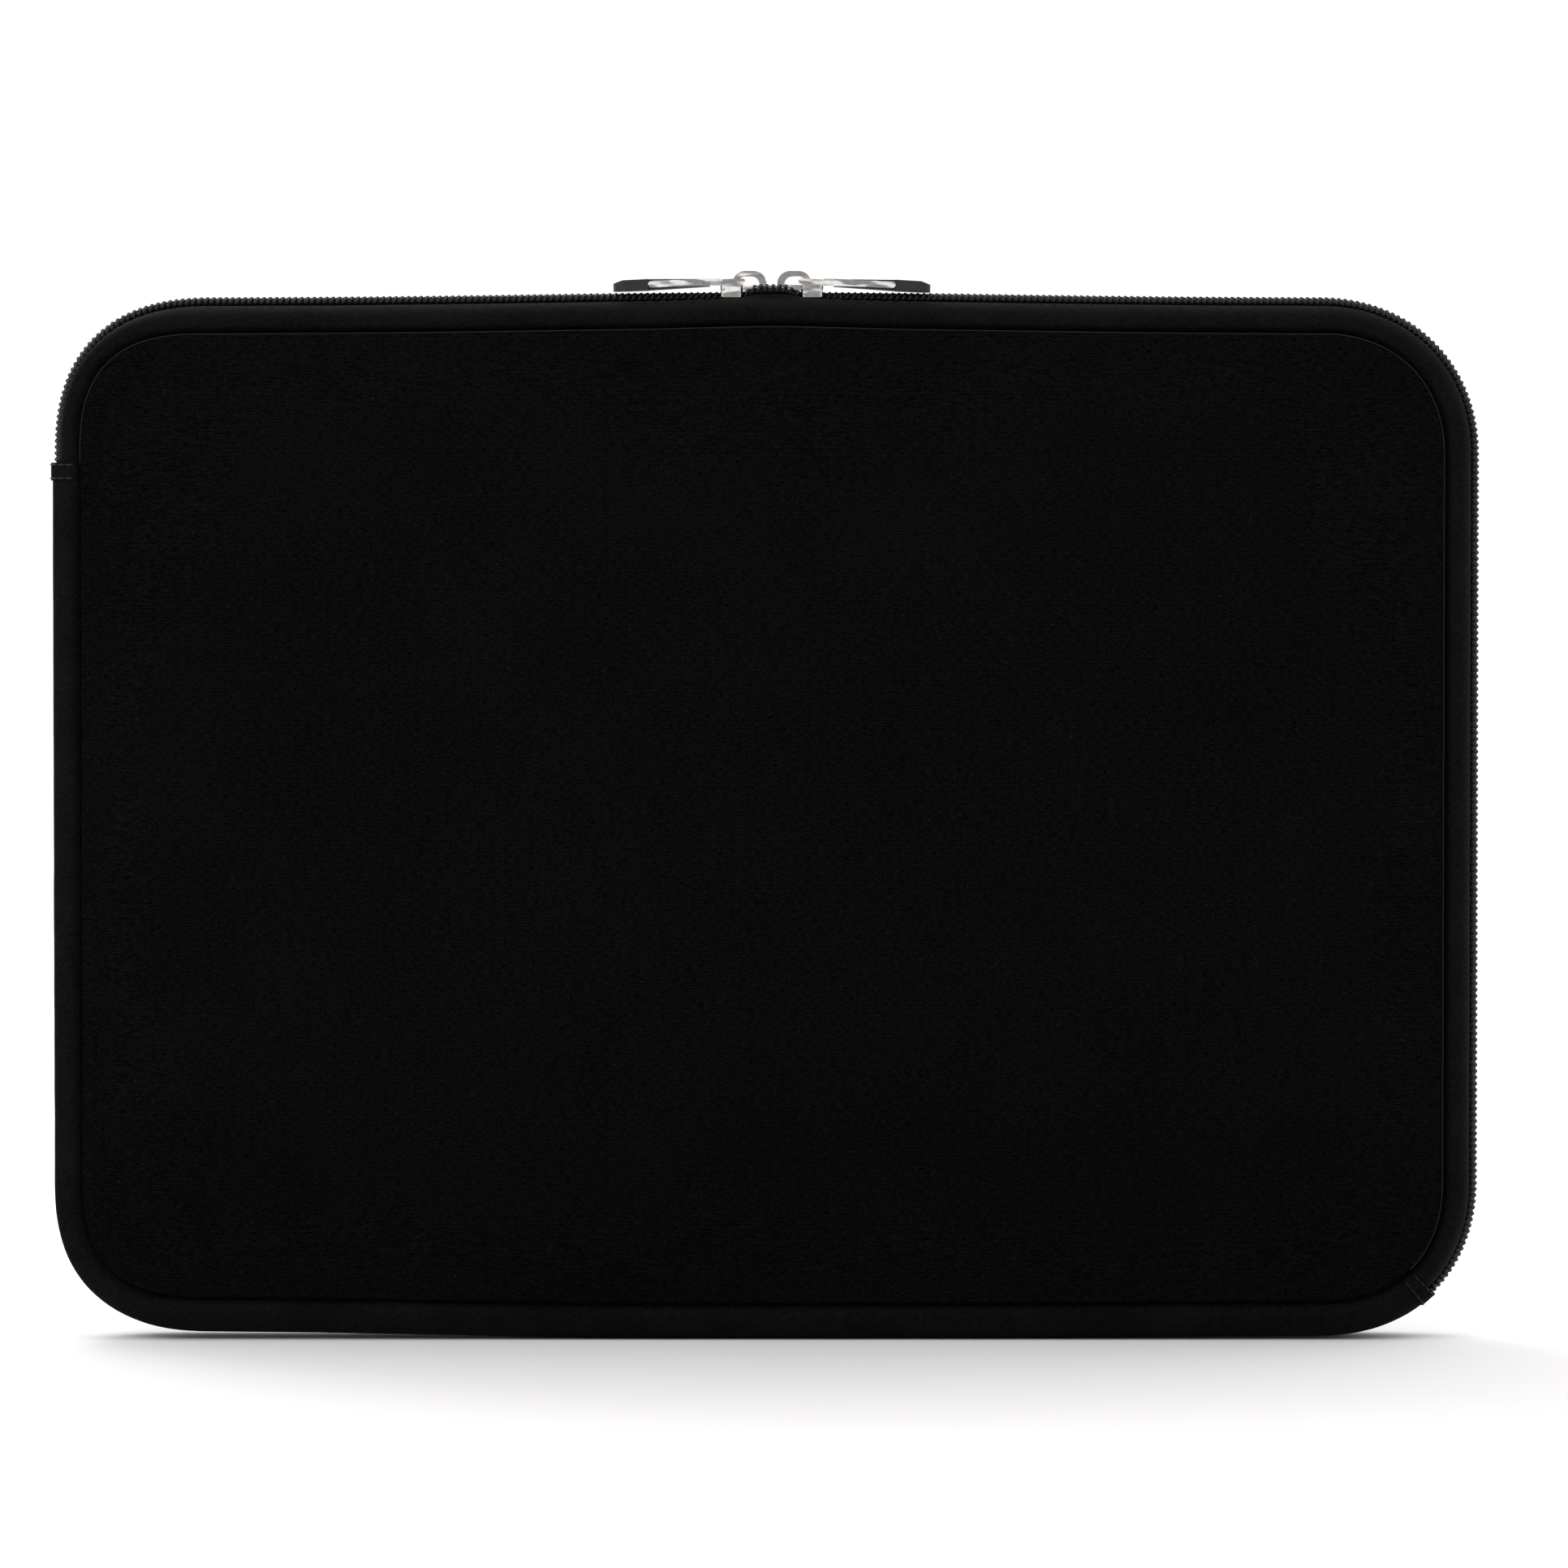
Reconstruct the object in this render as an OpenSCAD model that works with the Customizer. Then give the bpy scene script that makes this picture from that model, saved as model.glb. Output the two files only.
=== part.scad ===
// Padded laptop sleeve that stands on its bottom edge.
// A coil zip with two sliders runs from the left side over the top to the bottom right corner.
// The sleeve is drawn lying on its back round its own middle, with x as the width, y as the
// height and z as the depth towards the front, and stand() then stands it on its bottom edge.

/* [Sleeve] */
// Width over the sides
body_w = 340; // [300:5:400]
// Height from the bottom edge to the top of the zip
body_h = 250; // [220:5:290]
// Thickness over the two covers
body_t = 24; // [23:1:30]
// Radius of the outer corners
corner_r = 36; // [30:1:44]
// Distance from the outline in to the seam round each panel
seam_inset = 9.2; // [9:0.1:12]

/* [Layers] */
// Thickness of the knitted cover
cover_t = 0.6; // [0.4:0.1:0.8]
// Thickness of the foam core
foam_t = 3; // [2:0.5:3.5]
// Thickness of the lining
lining_t = 0.5; // [0.3:0.1:0.6]
// Wall thickness of the gusset
gusset_t = 2.2; // [1.8:0.1:2.2]
// Thickness of the zip bands
band_t = 1.6; // [1.2:0.1:1.6]

/* [Zip] */
// Height at which the zip starts on the left side
zip_start_h = 210; // [190:1:215]
// Angle below the level at which the zip stops on the bottom right corner
zip_stop_angle = 45; // [20:1:60]
// Length of the fabric tab at each end of the zip
tab_l = 4.3; // [3:0.1:6]
// Height of the coil above its tape
coil_h = 2.4; // [2:0.1:2.4]
// Thickness of the zip tape
tape_t = 0.6; // [0.4:0.1:0.6]

/* [Sliders] */
// Length of a slider body
slider_l = 11; // [10:0.1:12]
// Width of a slider body
slider_w = 8.8; // [8.6:0.1:9]
// Gap between the noses of the two sliders
nose_gap = 2.6; // [2.6:0.1:8]
// Distance of the pair of sliders to the right of the middle
pair_x = 1.2; // [-20:0.1:20]
// Length of a pull from its pivot to its tip
pull_l = 30.9; // [26:0.1:36]
// Width of a pull
pull_w = 8; // [7:0.1:9]
// Angle by which the left pull droops outwards
droop_left = 2; // [0:0.1:2]
// Angle by which the right pull droops outwards
droop_right = 2.4; // [0:0.1:2.4]

/* [Hidden] */
$fn = 64;
clear = 0.4;

// Depths from the middle plane of the sleeve
cover_z = body_t / 2 - cover_t;
foam_z = cover_z - foam_t;
lining_z = foam_z - lining_t;
rim_z = body_t / 2 - 0.5;
coil_z = 0.75;
coil_w = 2.35;

// Insets from the outline
tape_s = coil_h;
band_s = 2.3;
band_r = 5.6;
gusset_r = 5;
rim_end = seam_inset - clear;
bind_w = 1.5;
bind_z = rim_z - band_t - tape_t - 0.1;
tape_edge_w = 0.6;
tab_row_w = 10;
stitch_t = 0.25;
stitch_w = 0.6;
stitch_angle = 26;
tab_stitch_t = 0.2;

// Centres of the corner arcs, and the line between the zip's ends that the front folds along
arc_x = body_w / 2 - corner_r;
arc_y = body_h / 2 - corner_r;
zip_start_y = zip_start_h - body_h / 2;
zip_stop = [arc_x + corner_r * cos(zip_stop_angle), -arc_y - corner_r * sin(zip_stop_angle)];
fold_start = [-body_w / 2, zip_start_y];
fold_angle = atan2(zip_stop[1] - fold_start[1], zip_stop[0] - fold_start[0]);
mm_angle = 180 / (PI * corner_r);
far = 2 * body_w;

// Slider, from the top of the zip
plate_t = 1.2;
plate_z = 0.5;
plate_top = plate_z + plate_t;
under_z = -tape_s - tape_t - 0.2 - plate_t;
flange_t = 0.9;
flange_h = 1.8;
flange_r = 1;
tail_l = 5.4;
nose_w = 5.6;
slider_r = 1.2;
post_w = 1.2;
post_l = 2.6;
bridge_w = 2.6;
bridge_h = 3.4;
bridge_x = -2.6;
bridge_r = 3;
bridge_leg = 1.2;
hole_l = 5.2;
hole_h = 2.1;
hole_r = 1.9;

// Pull, from its pivot
pivot_x = -0.2;
pivot_z = plate_top + 0.9;
eye_r = 0.62;
arm_in = 1.6;
arm_w = 1.2;
eye_l = 4.8;
neck_x = 5.4;
neck_l = 2.4;
rail_w = 1;
rail_t = 1.6;
rail_end = 22.5;
grip_t = 2.5;
tip_r = 3;
tip_end_t = 1.7;
tip_slope = 2.3;

// Stands the sleeve up: its height becomes z and its front faces -y
module stand() {
  translate([0, 0, body_h / 2]) rotate([90, 0, 0]) children();
}

// Rectangle with round corners about the origin
module rounded(w, h, r) {
  square([w - 2 * r, h], center = true);
  square([w, h - 2 * r], center = true);
  for (x = [-1, 1], y = [-1, 1]) {
    translate([x * (w / 2 - r), y * (h / 2 - r)]) circle(r);
  }
}

// Outline of the sleeve at a distance inside its edge
module outline(inset) {
  rounded(body_w - 2 * inset, body_h - 2 * inset, corner_r - inset);
}

// Half of the plane: 1 is the flap side of the fold and -1 is the fixed side
module fold_half(side) {
  translate(fold_start) rotate(fold_angle)
    translate([-far, side > 0 ? clear / 2 : -far - clear / 2]) square([2 * far, far]);
}

// One flat layer of a panel
module panel(z0, t, side = 0) {
  translate([0, 0, z0]) linear_extrude(t) intersection() {
    outline(seam_inset);
    if (side == 0) square(far, center = true);
    if (side != 0) fold_half(side);
  }
}

// A section [outwards, depth] swept along a straight side and round a corner
module side_run(outwards, distance, from, to) {
  rotate([0, 0, outwards - 90]) translate([from, distance, 0])
    rotate([90, 0, 90]) linear_extrude(to - from) children();
}

module corner_sweep(angle) {
  rotate_extrude(angle = angle) translate([corner_r, 0]) children();
}

module corner_run(x, y, from, to) {
  translate([x * arc_x, y * arc_y, 0]) rotate([0, 0, from]) corner_sweep(to - from) children();
}

// The zip's way round the sleeve, short of its two ends by a distance
module zip_run(short = 0) {
  side_run(180, body_w / 2, zip_start_y + short, arc_y) children();
  corner_run(-1, 1, 90, 180) children();
  side_run(90, body_h / 2, -arc_x, arc_x) children();
  corner_run(1, 1, 0, 90) children();
  side_run(0, body_w / 2, -arc_y, arc_y) children();
  translate([arc_x, -arc_y, 0]) mirror([0, 1, 0]) corner_sweep(zip_stop_angle - short * mm_angle) children();
}

// The rest of the way, along the left side and the bottom
module gusset_run(short = 0) {
  corner_run(1, -1, -90, -zip_stop_angle - short * mm_angle) children();
  side_run(270, body_h / 2, -arc_x, arc_x) children();
  corner_run(-1, -1, 180, 270) children();
  side_run(180, body_w / 2, -arc_y, zip_start_y - short) children();
}

// Sections, with the outline at 0 and the inside of the sleeve at minus
module band_section() {
  translate([-band_s - band_r, rim_z - band_r]) {
    intersection() {
      difference() {
        circle(band_r);
        circle(band_r - band_t);
      }
      square(band_r);
    }
    translate([band_s + band_r - rim_end, band_r - band_t]) square([rim_end - band_s - band_r, band_t]);
  }
}

module tape_section() {
  under = band_r - band_t;
  translate([-tape_s - tape_t, coil_z]) square([tape_t, rim_z - band_r - coil_z]);
  translate([-band_s - band_t - tape_t, rim_z - band_r - tape_edge_w]) {
    square([band_s + band_t + tape_t - tape_s, tape_edge_w - 0.3]);
    square([tape_t, tape_edge_w]);
  }
  translate([-band_s - band_r, rim_z - band_r]) {
    intersection() {
      difference() {
        circle(under);
        circle(under - tape_t);
      }
      square(under);
    }
    translate([band_s + band_r - rim_end, under - tape_t]) square([rim_end - band_s - band_r, tape_t]);
  }
}

module coil_section() {
  translate([-tape_s, coil_z]) square([coil_h, coil_w]);
}

module zip_stitch_section() {
  translate([-band_s - band_r, rim_z - band_r]) rotate(stitch_angle)
    translate([band_r, -stitch_w / 2]) square([stitch_t, stitch_w]);
}

module binding_section() {
  translate([-rim_end, lining_z]) square([bind_w, bind_z - lining_z]);
}

// Outer or inner outline of the gusset's section, shrunk by its wall
module gusset_shape(wall) {
  round_r = gusset_r - wall;
  translate([-gusset_r, 0]) {
    square([2 * round_r, 2 * (rim_z - gusset_r)], center = true);
    for (z = [-1, 1]) {
      translate([0, z * (rim_z - gusset_r)]) circle(round_r);
    }
  }
  translate([-rim_end - wall, -rim_z + wall]) square([rim_end + wall - gusset_r, 2 * (rim_z - wall)]);
}

module gusset_section() {
  difference() {
    gusset_shape(0);
    gusset_shape(gusset_t);
  }
}

module tab_row_section() {
  translate([-tab_stitch_t, -tab_row_w / 2]) square([tab_stitch_t, tab_row_w]);
}

module at_left_tab(from, to) {
  side_run(180, body_w / 2, zip_start_y - to, zip_start_y - from) children();
}

module at_right_tab(from, to) {
  corner_run(1, -1, -zip_stop_angle - to * mm_angle, -zip_stop_angle - from * mm_angle) children();
}

// Panels
module rear_cover() {
  color("#15151a") stand() panel(-body_t / 2, cover_t);
}

module rear_foam() {
  color("#2a2a2e") stand() panel(-cover_z, foam_t);
}

module rear_lining() {
  color("#1d1d22") stand() panel(-foam_z, lining_t);
}

module front_cover_fixed() {
  color("#15151a") stand() panel(cover_z, cover_t, -1);
}

module front_foam_fixed() {
  color("#2a2a2e") stand() panel(foam_z, foam_t, -1);
}

module front_lining_fixed() {
  color("#1d1d22") stand() panel(lining_z, lining_t, -1);
}

module front_cover_flap() {
  color("#15151a") stand() panel(cover_z, cover_t, 1);
}

module front_foam_flap() {
  color("#2a2a2e") stand() panel(foam_z, foam_t, 1);
}

module front_lining_flap() {
  color("#1d1d22") stand() panel(lining_z, lining_t, 1);
}

// Edge strips
module spine_gusset() {
  color("#18181c") stand() gusset_run(tab_l) gusset_section();
}

module zip_band_rear() {
  color("#18181c") stand() mirror([0, 0, 1]) zip_run() band_section();
}

module zip_band_front() {
  color("#18181c") stand() zip_run(clear) band_section();
}

module zip_tape_rear() {
  color("#101013") stand() mirror([0, 0, 1]) zip_run() tape_section();
}

module zip_tape_front() {
  color("#101013") stand() zip_run(clear) tape_section();
}

module zip_teeth_rear() {
  color("#0c0c0e") stand() mirror([0, 0, 1]) zip_run() coil_section();
}

module zip_teeth_front() {
  color("#0c0c0e") stand() zip_run(clear) coil_section();
}

module zip_stitching_rear() {
  color("#26262b") stand() mirror([0, 0, 1]) zip_run() zip_stitch_section();
}

module zip_stitching_front() {
  color("#26262b") stand() zip_run(clear) zip_stitch_section();
}

module seam_binding_rear() {
  color("#101013") stand() mirror([0, 0, 1]) {
    zip_run() binding_section();
    gusset_run() binding_section();
  }
}

module seam_binding_front_fixed() {
  color("#101013") stand() gusset_run() binding_section();
}

module seam_binding_front_flap() {
  color("#101013") stand() zip_run(clear) binding_section();
}

// Folded tabs that close the ends of the zip, and the two rows of thread through each
module tab_rows_left() {
  for (row = [0.25, 0.75]) {
    at_left_tab(row * tab_l - stitch_w / 2, row * tab_l + stitch_w / 2) tab_row_section();
  }
}

module tab_rows_right() {
  for (row = [0.25, 0.75]) {
    at_right_tab(row * tab_l - stitch_w / 2, row * tab_l + stitch_w / 2) tab_row_section();
  }
}

module zip_end_tab_left() {
  color("#141418") stand() difference() {
    at_left_tab(0, tab_l) gusset_section();
    tab_rows_left();
  }
}

module zip_end_tab_right() {
  color("#141418") stand() difference() {
    at_right_tab(0, tab_l) gusset_section();
    tab_rows_right();
  }
}

module tab_stitching() {
  color("#3c3c42") stand() {
    tab_rows_left();
    tab_rows_right();
  }
}

// Slider with its nose towards +x and its tail towards -x
module slider_tail() {
  translate([(tail_l - slider_l) / 2, 0]) rounded(tail_l, slider_w, slider_r);
}

module slider_flange(side) {
  translate([(tail_l - slider_l) / 2, side * (slider_w - flange_t) / 2, plate_z]) rotate([90, 0, 0])
    linear_extrude(flange_t, center = true) rounded(tail_l, 2 * flange_h, flange_r);
}

module slider_body() {
  translate([0, 0, plate_z]) linear_extrude(plate_t) {
    slider_tail();
    rounded(slider_l, nose_w, slider_r);
  }
  intersection() {
    translate([0, 0, plate_z - flange_h]) linear_extrude(flange_h) slider_tail();
    union() {
      slider_flange(-1);
      slider_flange(1);
    }
  }
  translate([0, 0, under_z]) linear_extrude(plate_t) rounded(slider_l - 1, slider_w - 1.6, slider_r);
  translate([slider_l / 2 - post_l / 2 - 0.6, 0, under_z + plate_t])
    linear_extrude(plate_z - under_z - plate_t) rounded(post_l, post_w, post_w / 2 - 0.01);
  bridge();
}

// Arch over the upper plate that the pull hangs in
module bridge() {
  length = slider_l / 2 - bridge_x;
  rotate([90, 0, 0]) linear_extrude(bridge_w, center = true) difference() {
    intersection() {
      translate([bridge_x + length / 2, plate_top]) rounded(length, 2 * bridge_h, bridge_r);
      translate([bridge_x, plate_top]) square([length, bridge_h]);
    }
    translate([bridge_x + bridge_leg + hole_l / 2, plate_top]) rounded(hole_l, 2 * hole_h, hole_r);
  }
}

// Metal fork of a pull, which reaches towards -x from its pivot
module pull_frame() {
  arm_out = arm_in + arm_w;
  rotate([90, 0, 0]) cylinder(r = eye_r, h = 2 * arm_out, center = true);
  for (y = [-1, 1]) {
    translate([-neck_x, y * (arm_in + arm_w / 2) - arm_w / 2, -eye_r]) cube([neck_x, arm_w, 2 * eye_r]);
    translate([-rail_end + rail_t / 2, y * (pull_w - rail_w) / 2, 0]) rotate([90, 0, 0]) {
      cylinder(d = rail_t, h = rail_w, center = true);
      translate([0, -rail_t / 2, -rail_w / 2])
        cube([rail_end - rail_t / 2 - neck_x - neck_l, rail_t, rail_w]);
    }
  }
  translate([-neck_x, -arm_out, -eye_r]) cube([neck_x - eye_l, 2 * arm_out, 2 * eye_r]);
  translate([0, 0, -rail_t / 2]) linear_extrude(rail_t) polygon([
    [-neck_x, -arm_out], [-neck_x, arm_out],
    [-neck_x - neck_l, pull_w / 2], [-neck_x - neck_l, -pull_w / 2]
  ]);
}

// Rubber of a pull: a filling between the rails that thins towards the eye, and the tip beyond them
module pull_grip() {
  fill_w = pull_w - 2 * rail_w;
  fill_x = neck_x + neck_l;
  tip_l = pull_l - rail_end;
  rotate([90, 0, 0]) linear_extrude(fill_w, center = true) polygon([
    [-rail_end - tip_r, -grip_t / 2], [-rail_end, -grip_t / 2], [-fill_x, -rail_t / 2],
    [-fill_x, rail_t / 2], [-rail_end, grip_t / 2], [-rail_end - tip_r, grip_t / 2]
  ]);
  intersection() {
    translate([-rail_end, 0, -grip_t / 2]) linear_extrude(grip_t) intersection() {
      rounded(2 * tip_l, pull_w, tip_r);
      translate([-tip_l, -pull_w / 2]) square([tip_l, pull_w]);
    }
    rotate([90, 0, 0]) linear_extrude(pull_w, center = true) polygon([
      [-rail_end, -grip_t / 2], [-rail_end, grip_t / 2], [-pull_l + tip_slope, grip_t / 2 - 0.1],
      [-pull_l, tip_end_t - grip_t / 2], [-pull_l, -grip_t / 2]
    ]);
  }
}

module at_left(x) {
  translate([pair_x - nose_gap / 2 - slider_l / 2 + x, 0, body_h]) children();
}

module at_right(x) {
  translate([pair_x + nose_gap / 2 + slider_l / 2 - x, 0, body_h]) mirror([1, 0, 0]) children();
}

module slider_body_left() {
  color("silver") at_left(0) slider_body();
}

module slider_body_right() {
  color("silver") at_right(0) slider_body();
}

module pull_frame_left() {
  color("silver") at_left(pivot_x) translate([0, 0, pivot_z]) rotate([0, -droop_left, 0]) pull_frame();
}

module pull_frame_right() {
  color("silver") at_right(pivot_x) translate([0, 0, pivot_z]) rotate([0, -droop_right, 0]) pull_frame();
}

module pull_grip_left() {
  color("#22221f") at_left(pivot_x) translate([0, 0, pivot_z]) rotate([0, -droop_left, 0]) pull_grip();
}

module pull_grip_right() {
  color("#22221f") at_right(pivot_x) translate([0, 0, pivot_z]) rotate([0, -droop_right, 0]) pull_grip();
}

rear_cover();
rear_foam();
rear_lining();
front_cover_fixed();
front_foam_fixed();
front_lining_fixed();
front_cover_flap();
front_foam_flap();
front_lining_flap();
spine_gusset();
zip_band_rear();
zip_band_front();
zip_tape_rear();
zip_tape_front();
zip_teeth_rear();
zip_teeth_front();
zip_stitching_rear();
zip_stitching_front();
seam_binding_rear();
seam_binding_front_fixed();
seam_binding_front_flap();
zip_end_tab_left();
zip_end_tab_right();
tab_stitching();
slider_body_left();
slider_body_right();
pull_frame_left();
pull_frame_right();
pull_grip_left();
pull_grip_right();
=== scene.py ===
import math

import bpy
import numpy as np
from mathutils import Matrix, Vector, noise


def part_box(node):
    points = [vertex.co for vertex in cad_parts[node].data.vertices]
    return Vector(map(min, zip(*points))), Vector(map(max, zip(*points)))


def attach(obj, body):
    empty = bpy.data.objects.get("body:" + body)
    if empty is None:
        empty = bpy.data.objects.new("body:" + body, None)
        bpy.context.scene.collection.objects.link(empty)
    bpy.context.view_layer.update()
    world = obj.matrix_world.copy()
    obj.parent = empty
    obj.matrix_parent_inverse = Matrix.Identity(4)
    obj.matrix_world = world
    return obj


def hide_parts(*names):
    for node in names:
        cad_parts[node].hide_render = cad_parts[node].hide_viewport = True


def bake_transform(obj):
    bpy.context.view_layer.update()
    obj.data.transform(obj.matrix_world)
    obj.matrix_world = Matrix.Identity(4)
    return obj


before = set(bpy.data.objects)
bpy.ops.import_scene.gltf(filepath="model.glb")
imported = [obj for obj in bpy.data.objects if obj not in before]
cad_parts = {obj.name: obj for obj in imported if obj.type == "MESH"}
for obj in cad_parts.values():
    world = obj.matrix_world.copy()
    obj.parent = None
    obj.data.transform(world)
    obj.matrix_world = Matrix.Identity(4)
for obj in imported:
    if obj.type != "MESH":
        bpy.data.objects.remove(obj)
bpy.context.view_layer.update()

# The look of a padded laptop sleeve: the soft shell, its zip, and the finish of the sliders and pulls.
# The sleeve stands on z = 0 with its front at -y. Lengths here are in millimetres until a mesh is made.
MM = 0.001

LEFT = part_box("spine_gusset")[0].x / MM
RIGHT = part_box("zip_teeth_rear")[1].x / MM
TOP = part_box("zip_teeth_rear")[1].z / MM
HALF_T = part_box("rear_cover")[1].y / MM
ZIP_START_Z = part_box("zip_end_tab_left")[1].z / MM
TAB_L = (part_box("zip_end_tab_left")[1].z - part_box("zip_end_tab_left")[0].z) / MM
PAIR_X = (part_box("slider_body_left")[1].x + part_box("slider_body_right")[0].x) / 2 / MM
FRONT, REAR = -1, 1

# Corners, clockwise from the front: reach along the sides, and how square the curve is
CORNER = 38
SQUARENESS = {"top_left": 2.45, "top_right": 2.12, "bottom_right": 2.2, "bottom_left": 2.5}

# Distances in from the outline: the seam between panel and edge strips, and the edge of the panel's net
SEAM = 9.2
GRID = 12.5

# Layers of a panel, by their depth in from its outer face
COVER_T = 0.6
FOAM_IN = 3.58
LINING_OUT, LINING_IN = 3.62, 4.1
PILLOW_LIMIT = 1.7

# The chain, and how far its halves stand apart and rise between the sliders
COIL_PITCH = 1.5
COIL_WIRE = 0.4
COIL_MID = 1.28
APART, RISE = 2.5, 1.1

# Sag and swell of the soft shell
TOP_SAG, SLIDER_SWELL, LEFT_LIFT, RIGHT_LIFT, SEAM_SHIFT = 1.35, 0.75, 1.5, 0.5, 2.2

# Camera: its lens, the share of the frame's width that the sleeve fills, where it looks, degrees above level
LENS, SENSOR = 150, 36
FRAME_SHARE = 0.9053
CAMERA_TARGET, CAMERA_RISE = (0.0041, 0, 0.1325), 1.5


# ---------------------------------------------------------------- outline

class Outline:
    """The closed outline of the sleeve, by length in millimetres, clockwise as seen from the front."""

    def __init__(self):
        phi = np.linspace(0, math.pi / 2, 300)
        c, s = np.cos(phi), np.sin(phi)
        centres = {"top_left": (LEFT + CORNER, TOP - CORNER), "top_right": (RIGHT - CORNER, TOP - CORNER),
                   "bottom_right": (RIGHT - CORNER, CORNER), "bottom_left": (LEFT + CORNER, CORNER)}
        turns = {"top_left": (-c, s), "top_right": (s, c), "bottom_right": (c, -s), "bottom_left": (-s, -c)}
        points = []
        for name, (cx, cz) in centres.items():
            u, v = (np.sign(t) * np.abs(t) ** (2 / SQUARENESS[name]) for t in turns[name])
            points.append(np.stack([cx + CORNER * u, cz + CORNER * v], 1))
        points = np.concatenate(points + [points[0][:1]])
        length = np.concatenate([[0], np.cumsum(np.linalg.norm(np.diff(points, axis=0), axis=1))])
        self.total = length[-1]
        self.l = np.linspace(0, self.total, 4001)
        self.p = np.stack([np.interp(self.l, length, points[:, i]) for i in (0, 1)], 1)
        along = np.roll(self.p[:-1], -8, 0) - np.roll(self.p[:-1], 8, 0)
        along /= np.linalg.norm(along, axis=1)[:, None]
        out = np.stack([-along[:, 1], along[:, 0]], 1)
        self.n = np.concatenate([out, out[:1]])

    def at(self, l):
        """Points and outward directions at the lengths l."""
        l = np.mod(np.asarray(l, float), self.total)
        p = np.stack([np.interp(l, self.l, self.p[:, i]) for i in (0, 1)], -1)
        n = np.stack([np.interp(l, self.l, self.n[:, i]) for i in (0, 1)], -1)
        return p, n / np.linalg.norm(n, axis=-1)[..., None]

    def nearest(self, points):
        """Length and distance of the outline's point nearest to each of the points."""
        points = np.asarray(points, float).reshape(-1, 2)
        found = []
        for part in np.array_split(points, max(1, len(points) // 500)):
            d = ((part[:, None, :] - self.p[None, :, :]) ** 2).sum(2)
            k = d.argmin(1)
            found.append(np.stack([self.l[k], np.sqrt(d[np.arange(len(part)), k])], 1))
        found = np.concatenate(found)
        return found[:, 0], found[:, 1]


OUT = Outline()
ZIP_A = OUT.nearest([[LEFT, ZIP_START_Z]])[0][0]
ZIP_B = OUT.nearest([[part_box("zip_end_tab_right")[1].x / MM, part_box("zip_teeth_rear")[0].z / MM]])[0][0]
if ZIP_A > ZIP_B:
    ZIP_A -= OUT.total
TUCK = TAB_L / 2
TABS = [("left", ZIP_A + OUT.total - TAB_L, ZIP_A + OUT.total), ("right", ZIP_B, ZIP_B + TAB_L)]


def smooth(x, a, b):
    """0 before a, 1 after b, and an even S between them."""
    t = np.clip((x - a) / (b - a), 0, 1)
    return t * t * (3 - 2 * t)


def settle(v):
    """The soft shell's own sag: the top edge falls away from the sliders, the bottom lifts at its ends, the
    edge swells under the sliders, and the front seam sits nearer to the left side."""
    x, w, z = v[:, 0], -v[:, 1], v[:, 2]
    drop = TOP_SAG * (1 - np.exp(-((x - PAIR_X) / 75) ** 2)) * smooth(z, 150, 250)
    swell = SLIDER_SWELL * np.exp(-((x - PAIR_X) / 19) ** 2)
    swell = swell * smooth(z, 232, 247) * smooth(np.abs(w), 3.6, 5.5)
    lift = (LEFT_LIFT * smooth(-x, 20, 140) + RIGHT_LIFT * smooth(x, 40, 140)) * smooth(-z, -60, 0)
    out = v.copy()
    out[:, 2] += lift - drop + swell
    out[:, 0] -= SEAM_SHIFT * smooth(-x, 80, 160) * smooth(w, 6, 11)
    return out


def ripple(x, z, size, seed):
    """Smooth unevenness between -1 and 1 at about the given size in millimetres."""
    flat = np.stack(np.broadcast_arrays(x, z), -1).reshape(-1, 2)
    return np.array([noise.noise(Vector((a / size, seed, b / size))) for a, b in flat]).reshape(np.shape(x))


# ---------------------------------------------------------------- meshes

def mesh(name, verts, faces, material, sharp=50):
    """A smooth-shaded piece of the soft shell, with its sag, and with edges over the sharp angle kept."""
    verts = settle(np.asarray(verts, float).reshape(-1, 3))
    data = bpy.data.meshes.new(name)
    data.from_pydata((verts * MM).tolist(), [], faces)
    data.validate()
    data.polygons.foreach_set("use_smooth", [True] * len(data.polygons))
    data.materials.append(material)
    data.update()
    data.set_sharp_from_angle(angle=math.radians(sharp))
    obj = bpy.data.objects.new(name, data)
    bpy.context.scene.collection.objects.link(obj)
    return obj


def soft(obj, nodes=(), front=False):
    """Hangs a soft piece on the sleeve, or bakes a front piece's placement into its mesh."""
    if front:
        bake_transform(obj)
    else:
        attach(obj, "sleeve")
    if nodes:
        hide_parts(*nodes)
    return obj


def rows_to_faces(rows, cols, wrap=True, start=0, flip=False):
    """Quads between the rows of a net, closed round each row if wrap is set."""
    faces = []
    for i in range(rows - 1):
        for j in range(cols if wrap else cols - 1):
            a = start + i * cols + j
            b = start + i * cols + (j + 1) % cols
            c = start + (i + 1) * cols + (j + 1) % cols
            d = start + (i + 1) * cols + j
            faces.append((a, d, c, b) if flip else (a, b, c, d))
    return faces


def parting(l):
    """How far the two halves of the chain stand apart inside and between the sliders, from 0 to 1."""
    p, _ = OUT.at(l)
    near = 1 - smooth(np.abs(p[:, 0] - PAIR_X), 3.0, 8.5)
    return near * (p[:, 1] > TOP / 2)


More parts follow.
